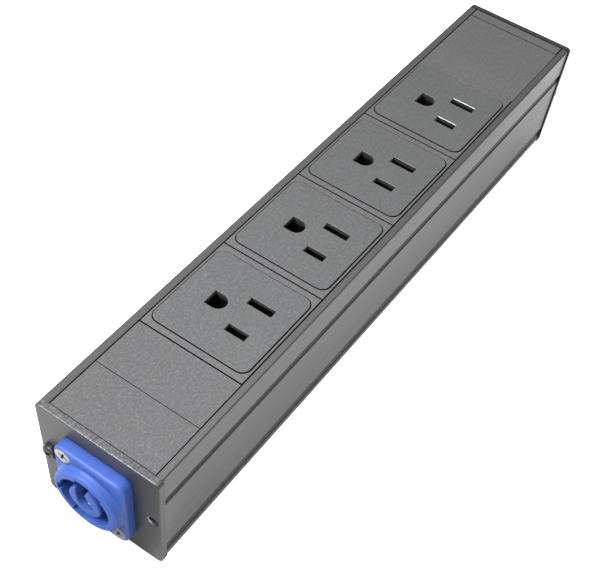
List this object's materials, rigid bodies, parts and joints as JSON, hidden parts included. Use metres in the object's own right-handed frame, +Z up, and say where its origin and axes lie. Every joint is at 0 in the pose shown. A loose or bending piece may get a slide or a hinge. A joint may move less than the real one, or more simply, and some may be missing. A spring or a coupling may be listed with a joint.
{
  "type": "rack power strip",
  "caption": "Square grey aluminium power strip with flush three-pin outlets, blank covers and a blue twist-lock mains inlet on one end.",
  "frame": {"origin": "middle of the extrusion's underside: half way along it, on its centre line", "axes": "+X along the strip away from the mains inlet, +Y towards the earth holes' side, +Z up out of the outlet faces"},
  "size_m": [0.2636, 0.0452, 0.0454],
  "materials": {
    "anodised_body": "satin dark grey anodised extrusion with fine lengthwise draw lines",
    "painted_caps": "fine-texture dark grey powder coat",
    "dark_cap": "darker fine-texture powder coat on the far cap",
    "black_screws": "black oxide, satin",
    "module_plastic": "spark-eroded matte dark grey moulding",
    "outlet_plastic": "spark-eroded matte dark grey moulding",
    "base_plastic": "matte black thermoset moulding",
    "inlet_plastic": "satin blue polyamide",
    "zinc_fasteners": "bright zinc plated steel",
    "tinned_terminals": "tinned brass, dull",
    "line_insulation": "black PVC wire insulation",
    "neutral_insulation": "white PVC wire insulation",
    "earth_insulation": "green PVC wire insulation",
    "liner_sheet": "translucent fibre-board sheet",
    "contact_brass": "bright rolled brass strip"
  },
  "bodies": {
    "root": {"earth_bond_wire": "earth_insulation", "earth_busbar": "contact_brass", "earth_contact_1": "contact_brass", "earth_contact_2": "contact_brass", "earth_contact_3": "contact_brass", "earth_contact_4": "contact_brass", "earth_ring_terminal": "tinned_terminals", "earth_screw": "zinc_fasteners", "earth_washer": "zinc_fasteners", "earth_wire": "earth_insulation", "end_filler_strip": "module_plastic", "extruded_body": "anodised_body", "far_blank": "module_plastic", "far_cap_screws": "black_screws", "far_end_cap": "dark_cap", "inlet_core": "inlet_plastic", "inlet_earth_contact": "tinned_terminals", "inlet_housing": "inlet_plastic", "inlet_line_contact": "tinned_terminals", "inlet_neutral_contact": "tinned_terminals", "inlet_nuts": "zinc_fasteners", "inlet_push_terminals": "tinned_terminals", "inlet_screws": "zinc_fasteners", "insulating_liner": "liner_sheet", "line_busbar": "contact_brass", "line_contact_1": "contact_brass", "line_contact_2": "contact_brass", "line_contact_3": "contact_brass", "line_contact_4": "contact_brass", "line_wire": "line_insulation", "near_blank_a": "module_plastic", "near_blank_b": "module_plastic", "near_cap_screw": "black_screws", "near_end_cap": "painted_caps", "neutral_busbar": "contact_brass", "neutral_contact_1": "contact_brass", "neutral_contact_2": "contact_brass", "neutral_contact_3": "contact_brass", "neutral_contact_4": "contact_brass", "neutral_wire": "neutral_insulation", "socket_base_1": "base_plastic", "socket_base_2": "base_plastic", "socket_base_3": "base_plastic", "socket_base_4": "base_plastic", "socket_face_1": "outlet_plastic", "socket_face_2": "outlet_plastic", "socket_face_3": "outlet_plastic", "socket_face_4": "outlet_plastic", "socket_frame_1": "module_plastic", "socket_frame_2": "module_plastic", "socket_frame_3": "module_plastic", "socket_frame_4": "module_plastic"}
  },
  "joints": []
}
